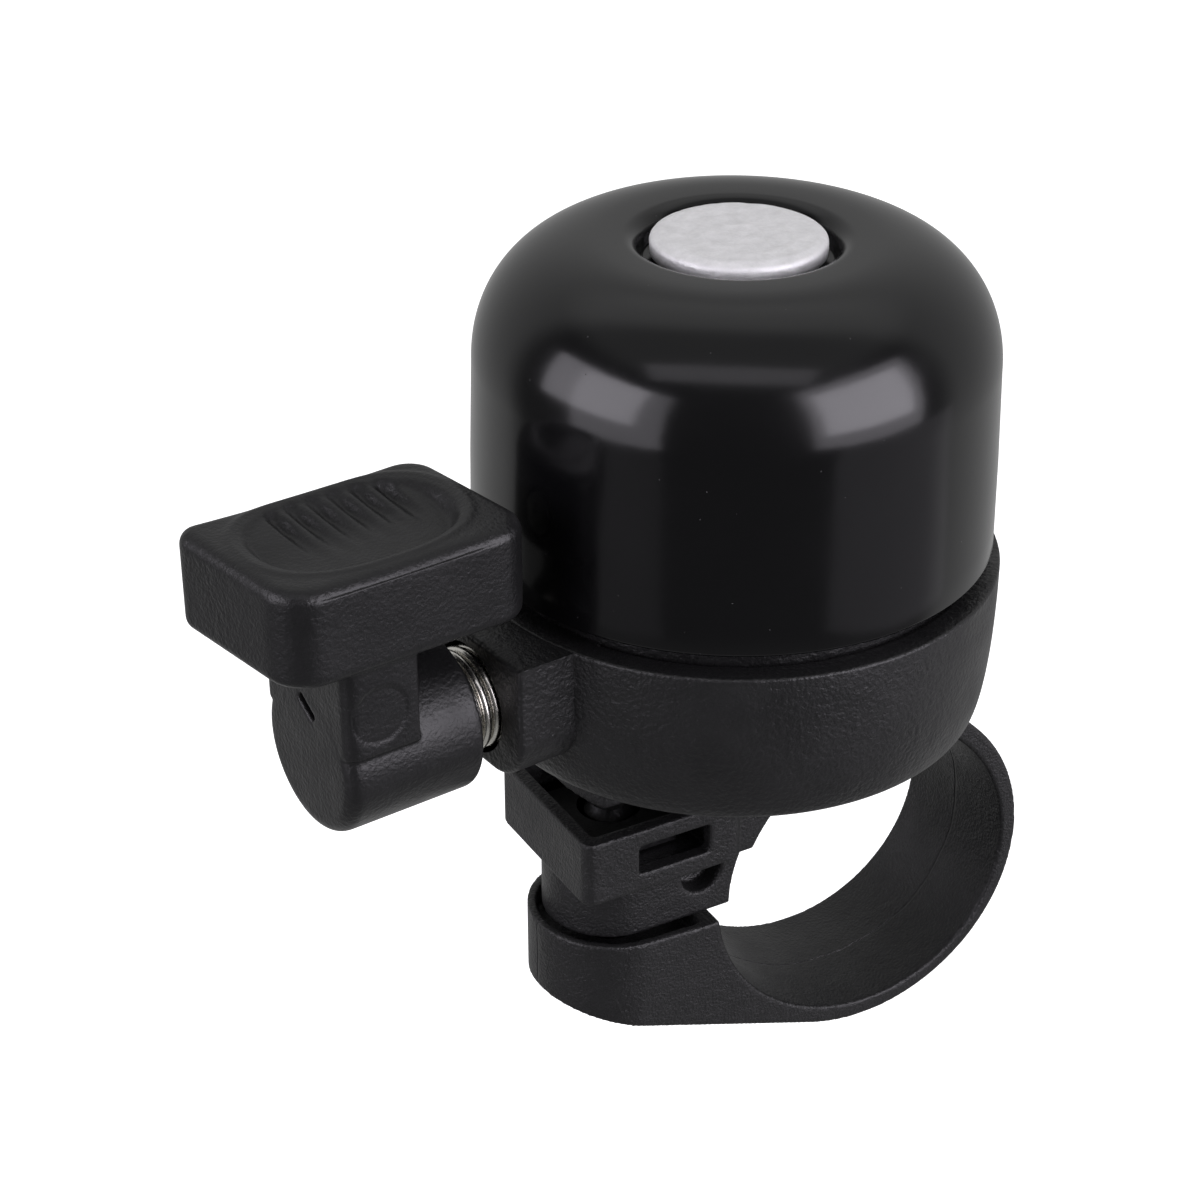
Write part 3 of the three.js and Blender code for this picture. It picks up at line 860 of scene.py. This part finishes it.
def make_bracket():
    radius, low, high = TURNTABLE
    saddle = block((BOX_INNER_RIGHT, -BAND_HALF, BOX_BOTTOM), (SADDLE_END, BAND_HALF, low + OVERLAP))
    box = block((BOX_LEFT, -BOX_HALF, BOX_BOTTOM), (BOX_RIGHT, BOX_HALF, BOX_TOP))
    soften(box, upright, BOX_ROUND, 6)
    post = joined(
        prism(circle(SCREW_X, 0, POST_RADIUS, 96), POST_FOOT, BOX_FLOOR),
        block((SCREW_X, -POST_RADIUS, POST_FOOT), (POST_END, POST_RADIUS, BOX_FLOOR)),
    )
    bar = prism(circle(0, 0, SADDLE_RADIUS, 192), -20, 20, along_y)
    body = cut(joined(saddle, box, post), bar)
    table = prism(circle(BELL_X, 0, radius, 128), low, high)
    lug_radius, lug_half, lug_low = LUG
    lug = kept(
        prism(circle(BELL_X, 0, lug_radius, 128), lug_low, low + OVERLAP),
        block((-FAR, -lug_half, 0), (BOX_INNER_RIGHT + 1, lug_half, 20)),
    )
    joined(body, table, lug)
    pocket_r, pocket_top = NUT_POCKET
    left, right, sill, head = WINDOW
    notch_x, notch_z, notch_r = NOTCH
    notch = [
        *arc(notch_x, notch_z, notch_r, 180, 360, 20),
        (notch_x + notch_r, BOX_BOTTOM),
        (notch_x - notch_r, BOX_BOTTOM),
    ]
    cut(
        body,
        block(
            (BOX_LEFT + BOX_WALL, -BOX_HALF + BOX_WALL, BOX_FLOOR),
            (BOX_INNER_RIGHT, BOX_HALF - BOX_WALL, lug_low),
        ),
        block((left, -10, sill), (right, -BOX_HALF + BOX_WALL + 1, head)),
        prism(notch, -POST_RADIUS - 1, -POST_RADIUS + NOTCH_DEPTH, along_y),
        prism(circle(BELL_X, 0, BOLT_HOLE, 48), 0, 20),
        prism(circle(BELL_X, 0, pocket_r, 48), 0, pocket_top),
        prism(circle(SCREW_X, 0, POST_HOLE, 48), 0, BOX_FLOOR + 1),
    )
    moulded(body, CLAMP_CELL, CLAMP_SMOOTHING)
    thinned(body, CLAMP_KEEP)
    finished(
        body, "clamp_bracket_body", IN_PART,
        ["clamp_bracket"], CLAMP_PLASTIC, "clamp",
    )


# ---- striker -------------------------------------------------------------------------


LEVER_CELL = 0.12
LEVER_SMOOTHING = 4
LEVER_KEEP = 0.4
PAD_SKIN = 1.2  # only this much of the pad's height is sculpted
PAD_SAG = (0.18, 8)  # depth of the saddle and half its length
DISH_CENTRE = (28.05, -0.55)
DISH_HALF = (6.75, 4.7)
DISH_POWER = 2.6
DISH_DEPTH = 0.9
DISH_SIDE = 0.87  # where the dish's side starts, as a share of the way out
DISH_LIP = (0.09, 1.07, 0.05)  # height, place and width of the raised edge round the dish
RIB = (0.2, 0.95, -0.45)  # shallowest share of the depth, and where it starts and ends
GROOVE = (0.35, 1.0, 0.5)
GROOVE_PITCH = 1.48
GROOVE_COUNT = 6
GROOVE_MIDDLE = 27.6  # at the back edge; the grooves slant a little towards the front
GROOVE_POWER = 1.1
GROOVE_SLANT = 0.08
GROOVE_BACK = -5.3
MARK = (29.9, -1.2, 1.87)  # round mould mark on the flat side of the pillar
MARK_SKIN = 0.4
MARK_EDGE = 0.12
MARK_RING_DEPTH = 0.05
MARK_DEPTH = 0.07


def smooth_step(low, high, value):
    t = min(1.0, max(0.0, (value - low) / (high - low)))
    return t * t * (3 - 2 * t)


def groove_at(x):
    """1 in the middle of a groove and 0 on the ribs between."""
    along = (x - GROOVE_MIDDLE) / GROOVE_PITCH
    if abs(along) > GROOVE_COUNT / 2:
        return 0.0
    return (0.5 - 0.5 * math.cos(2 * math.pi * along)) ** GROOVE_POWER


def depth_at(back, shape):
    """Depth of the ribs or the grooves, which grows from the pad's back edge."""
    least, start, end = shape
    return DISH_DEPTH * (least + (1 - least) * smooth_step(start, end, back))


def pad_top(co, normal):
    """A slight saddle, an oval dish whose back slopes up, and grooves cut in that slope."""
    if normal.z < 0.3 or co.z < PAD_TOP - PAD_SKIN:
        return co
    sag_depth, sag_half = PAD_SAG
    sag = sag_depth * max(0.0, 1 - ((co.x - DISH_CENTRE[0]) / sag_half) ** 2)
    across = (co.x - DISH_CENTRE[0]) / DISH_HALF[0]
    back = -(co.y - DISH_CENTRE[1]) / DISH_HALF[1]
    edge = (abs(across) ** DISH_POWER + abs(back) ** DISH_POWER) ** (1 / DISH_POWER)
    inside = 1 - smooth_step(DISH_SIDE, 1.0, edge)
    rib = depth_at(back, RIB)
    groove = depth_at(back, GROOVE)
    slant = GROOVE_SLANT * (co.y - GROOVE_BACK)
    depth = rib + (groove - rib) * groove_at(co.x + slant)
    lip_height, lip_place, lip_width = DISH_LIP
    lip = lip_height * math.exp(-(((edge - lip_place) / lip_width) ** 2))
    return co + Vector((0, 0, lip - depth * inside - sag))


def side_mark(co, normal):
    """A round mark pressed lightly into the pillar's flat side."""
    x, z, radius = MARK
    if normal.y < 0.8 or co.y < BARREL[2] - MARK_SKIN:
        return co
    reach = math.hypot(co.x - x, co.z - z)
    ring = MARK_RING_DEPTH * math.exp(-(((reach - radius) / MARK_EDGE) ** 2))
    dent = MARK_DEPTH * (1 - smooth_step(radius - MARK_EDGE, radius, reach))
    return co - Vector((0, dent + ring, 0))


def pad_plan():
    corners = [(x + PAD_SKEW * y, y) for x, y in (
        (PAD_START, PAD_BACK), (PAD_END, PAD_BACK), (PAD_END, PAD_FRONT), (PAD_START, PAD_FRONT),
    )]
    return rounded(corners, PAD_CORNERS, 8)


def make_lever():
    start, end, radius = BARREL
    pad = prism(pad_plan(), PAD_BOTTOM, PAD_TOP)
    soften(pad, at_height(PAD_TOP), PAD_ROUND_TOP, 6)
    soften(pad, at_height(PAD_BOTTOM), PAD_ROUND_BOTTOM, 5)
    round_x = PAD_START + PAD_INNER_ROUND
    round_z = PAD_BOTTOM + PAD_INNER_ROUND
    inner_edge = block((PAD_START - 2, -9, PAD_BOTTOM - 1), (round_x, 9, round_z))
    inner_round = prism(circle(round_x, round_z, PAD_INNER_ROUND, 40), -9, 9, along_y)
    cut(pad, cut(inner_edge, inner_round))
    barrel = prism(circle(0, SPRING_Z, radius, 96), start, end, along_x)
    soften(barrel, at_x(start), BARREL_ROUNDS[0])
    soften(barrel, at_x(end), BARREL_ROUNDS[1], 5)
    pillar = block(
        (PILLAR_START, -radius + HAIR, PILLAR_BOTTOM),
        (end - HAIR, radius - HAIR, PAD_BOTTOM + PILLAR_OVERLAP),
    )
    soften(pillar, lambda e: upright(e) and e.verts[0].co.x > end - 1, PILLAR_ROUND, 6)
    socket = prism(circle(0, SPRING_Z, SOCKET, 64), start - 1, LEVER_SOCKET, along_x)
    pocket_r, pocket_depth = SLUG_POCKET
    pocket = prism(circle(0, SLUG_Z, pocket_r, 40), PAD_START - 1, PAD_START + pocket_depth, along_x)
    slit_depth, slit_half, slit_reach = SLIT
    slit = block((end - slit_depth, -slit_half, -slit_reach), (end + 1, slit_half, slit_reach))
    slit.data.transform(Matrix.Translation(SLIT_AT) @ Matrix.Rotation(SLIT_TURN, 4, "X"))
    lever = cut(joined(pad, barrel, pillar), socket, pocket, slit)
    moulded(lever, LEVER_CELL, LEVER_SMOOTHING)
    sculpt(lever, pad_top)
    sculpt(lever, side_mark)
    thinned(lever, LEVER_KEEP)
    finished(
        lever, "striker_lever_body", IN_STRIKER,
        ["striker_lever"], LEVER_PLASTIC, "striker",
    )


def coil(start, end, phase_from):
    """A stretch of the helix as a round wire; phase_from fixes where the turn begins."""
    sides = WIRE_SIDES
    turns = (end - start) / COIL_PITCH
    count = int(turns * COIL_STEPS)
    rise = COIL_PITCH / (2 * math.pi)
    vertices = []
    faces = []
    for i in range(count + 1):
        x = start + (end - start) * i / count
        angle = 2 * math.pi * (x - phase_from) / COIL_PITCH
        out = Vector((0, math.cos(angle), math.sin(angle)))
        along = Vector((rise, -COIL_RADIUS * math.sin(angle), COIL_RADIUS * math.cos(angle)))
        side = along.normalized().cross(out)
        centre = Vector((x, 0, SPRING_Z)) + out * COIL_RADIUS
        for k in range(sides):
            turn = 2 * math.pi * k / sides
            vertices.append(centre + WIRE * (out * math.cos(turn) + side * math.sin(turn)))
        if i:
            base = (i - 1) * sides
            for k in range(sides):
                after = (k + 1) % sides
                faces.append((base + k, base + after, base + sides + after, base + sides + k))
    faces.append(tuple(range(sides)))
    faces.append(tuple(range(count * sides, (count + 1) * sides)))
    return new_object("coil", vertices, faces)


def make_spring():
    """One wire from socket to socket, in two lengths that meet between the two hinges."""
    sway_at = (SWAY.xy - Vector((BELL_X, 0))).length
    tilt_at = (TILT.xy - Vector((BELL_X, 0))).length
    meet = (sway_at + tilt_at) / 2
    first = BOSS_SOCKET + COIL_MARGIN
    last = LEVER_SOCKET - COIL_MARGIN

    root = coil(first, meet, first)
    both = ["spring_root", "spring_middle"]
    finished(root, "spring_boss_half", IN_STRIKER, both, WIRE_METAL)
    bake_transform(root)
    tip = coil(meet, last, first)
    finished(tip, "spring_lever_half", IN_STRIKER, ["spring_tip"], WIRE_METAL)
    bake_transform(tip)


# ---- hardware ------------------------------------------------------------------------


def dress_cad_nodes():
    """Finish for the CAD pieces whose shape is already right."""
    looks = {
        "head_washer": NYLON, "dome_bush": NYLON, "lock_washer": ZINC, "centre_nut": ZINC,
        "screw_washer": ZINC, "strike_insert": ZINC, "boss_plug": ZINC, "lever_plug": ZINC,
        # The clamp nut and screw get the dark finish that doubles as painted shade inside the nut
        # box.
        "clamp_nut": BLACK_STEEL_AND_PAINTED_SHADE, "clamp_screw": BLACK_STEEL_AND_PAINTED_SHADE,
    }
    for name, material in looks.items():
        node = frame["nodes"][name]
        node.data.materials.clear()
        node.data.materials.append(material)


# ---- stage ---------------------------------------------------------------------------

CAMERA_AT = Vector((-91.275, -129.052, 108.149)) * MM
CAMERA_AZIMUTH = -29.31
CAMERA_ELEVATION = 29.62
CAMERA_LENS = 79.37
CAMERA_SENSOR = 36
CAMERA_NEAR = 0.005
FLOOR_DROP = 0.16
BEHIND = (0.588, 0.809, 0)  # towards the middle of the white backdrop
# parts of the studio: the height or direction where each starts and is full, and its level
BACKDROP = (0.05, 0.35, 0.45)
OVERHEAD = (0.62, 0.8, 0.28)
TABLE = (-0.5, -0.85, 0.22)
ROOM = (-3.0, -2.0, 0.12)  # the same everywhere
# azimuth, elevation, width and height in degrees, and radiance
SOFTBOXES = {
    "left_key": (174, 16, 46, 32, 2.5),
    "left_fill": (188, 8, 42, 46, 1.5),
    "left_low": (-168, -25, 30, 20, 0.12),
    "right_key": (-65, 15, 42, 36, 3.0),
    "right_fill": (-65, 13, 52, 52, 1.8),
    "right_low": (-50, -24, 54, 22, 0.26),
    "front_strip": (-125, 55, 60, 16, 0.75),
}
LIGHT_DISTANCE = 0.5
LIGHT_TINT = (1.0, 0.96, 1.05)
LIGHT_AIM = 14  # height above the dome's rim that the lights face, in millimetres
FLOOR_HALF = 3.0
FLOOR_GLOW = 0.85


def make_camera():
    data = bpy.data.cameras.new("camera")
    data.lens = CAMERA_LENS
    data.sensor_width = CAMERA_SENSOR
    data.clip_start = CAMERA_NEAR
    camera = bpy.data.objects.new("camera", data)
    bpy.context.scene.collection.objects.link(camera)
    camera.location = CAMERA_AT
    camera.rotation_euler = (math.radians(90 - CAMERA_ELEVATION), 0, math.radians(CAMERA_AZIMUTH))
    bpy.context.scene.camera = camera


def softbox(name, azimuth, elevation, wide, tall, radiance):
    """A rectangular light seen from the bell in this direction, with sizes in degrees."""
    data = bpy.data.lights.new(name, "AREA")
    data.shape = "RECTANGLE"
    data.size = 2 * LIGHT_DISTANCE * math.tan(math.radians(wide / 2))
    data.size_y = 2 * LIGHT_DISTANCE * math.tan(math.radians(tall / 2))
    data.energy = radiance * math.pi * data.size * data.size_y
    data.color = LIGHT_TINT
    light = bpy.data.objects.new(name, data)
    bpy.context.scene.collection.objects.link(light)
    a, e = math.radians(azimuth), math.radians(elevation)
    away = Vector((math.cos(a) * math.cos(e), math.sin(a) * math.cos(e), math.sin(e)))
    target = Vector((BELL_X * MM, 0, (RIM_Z + LIGHT_AIM) * MM))
    light.location = target + away * LIGHT_DISTANCE
    light.rotation_euler = away.to_track_quat("Z", "Y").to_euler()


def make_world():
    """A pale studio: bright behind and above the bell, dim in front; plain white to the camera."""
    world = bpy.data.worlds.new("studio")
    world.use_nodes = True
    tree = world.node_tree
    tree.nodes.clear()
    node = tree.nodes.new
    link = tree.links.new

    def level(source, low, high, value):
        span = node("ShaderNodeMapRange")
        span.interpolation_type = "SMOOTHSTEP"
        span.inputs["From Min"].default_value = low
        span.inputs["From Max"].default_value = high
        span.inputs["To Max"].default_value = value
        link(source, span.inputs["Value"])
        return span.outputs["Result"]

    def added(first, second):
        plus = node("ShaderNodeMath")
        link(first, plus.inputs[0])
        link(second, plus.inputs[1])
        return plus.outputs["Value"]

    direction = node("ShaderNodeTexCoord").outputs["Generated"]
    apart = node("ShaderNodeSeparateXYZ")
    link(direction, apart.inputs["Vector"])
    behind = node("ShaderNodeVectorMath")
    behind.operation = "DOT_PRODUCT"
    behind.inputs[1].default_value = BEHIND
    link(direction, behind.inputs[0])
    overhead = level(apart.outputs["Z"], *OVERHEAD)
    table = level(apart.outputs["Z"], *TABLE)
    backdrop = level(behind.outputs["Value"], *BACKDROP)
    room = level(apart.outputs["Z"], *ROOM)
    total = added(added(overhead, table), added(backdrop, room))
    studio = node("ShaderNodeBackground")
    link(total, studio.inputs["Strength"])
    seen = node("ShaderNodeBackground")
    seen.inputs["Color"].default_value = (1, 1, 1, 1)
    path = node("ShaderNodeLightPath")
    mixed = node("ShaderNodeMixShader")
    link(path.outputs["Is Camera Ray"], mixed.inputs["Fac"])
    link(studio.outputs["Background"], mixed.inputs[1])
    link(seen.outputs["Background"], mixed.inputs[2])
    link(mixed.outputs["Shader"], node("ShaderNodeOutputWorld").inputs["Surface"])
    bpy.context.scene.world = world


def make_floor():
    """A lit white table well below the bell, seen by the camera alone."""
    half = FLOOR_HALF
    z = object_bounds()[0][2] - FLOOR_DROP
    corners = [(-half, -half, z), (half, -half, z), (half, half, z), (-half, half, z)]
    floor = new_object("floor", corners, [(0, 1, 2, 3)])
    look = Look("floor_paper", (0.9, 0.9, 0.9), 0.8)
    look.shader.inputs["Emission Color"].default_value = (1, 1, 1, 1)
    look.shader.inputs["Emission Strength"].default_value = FLOOR_GLOW
    look.color(look.mix(look.noise(40.0, 2.0), (0.9, 0.9, 0.9), (0.92, 0.92, 0.92)))
    floor.data.materials.append(look.material)
    floor.visible_glossy = False
    floor.visible_diffuse = False


def make_stage():
    bpy.context.scene.view_settings.view_transform = "Standard"
    make_world()
    make_floor()
    for name, settings in SOFTBOXES.items():
        softbox(name, *settings)


make_camera()
make_dome()
make_bolt()
make_cup()
make_bracket()
make_band()
make_lever()
make_spring()
dress_cad_nodes()
make_stage()
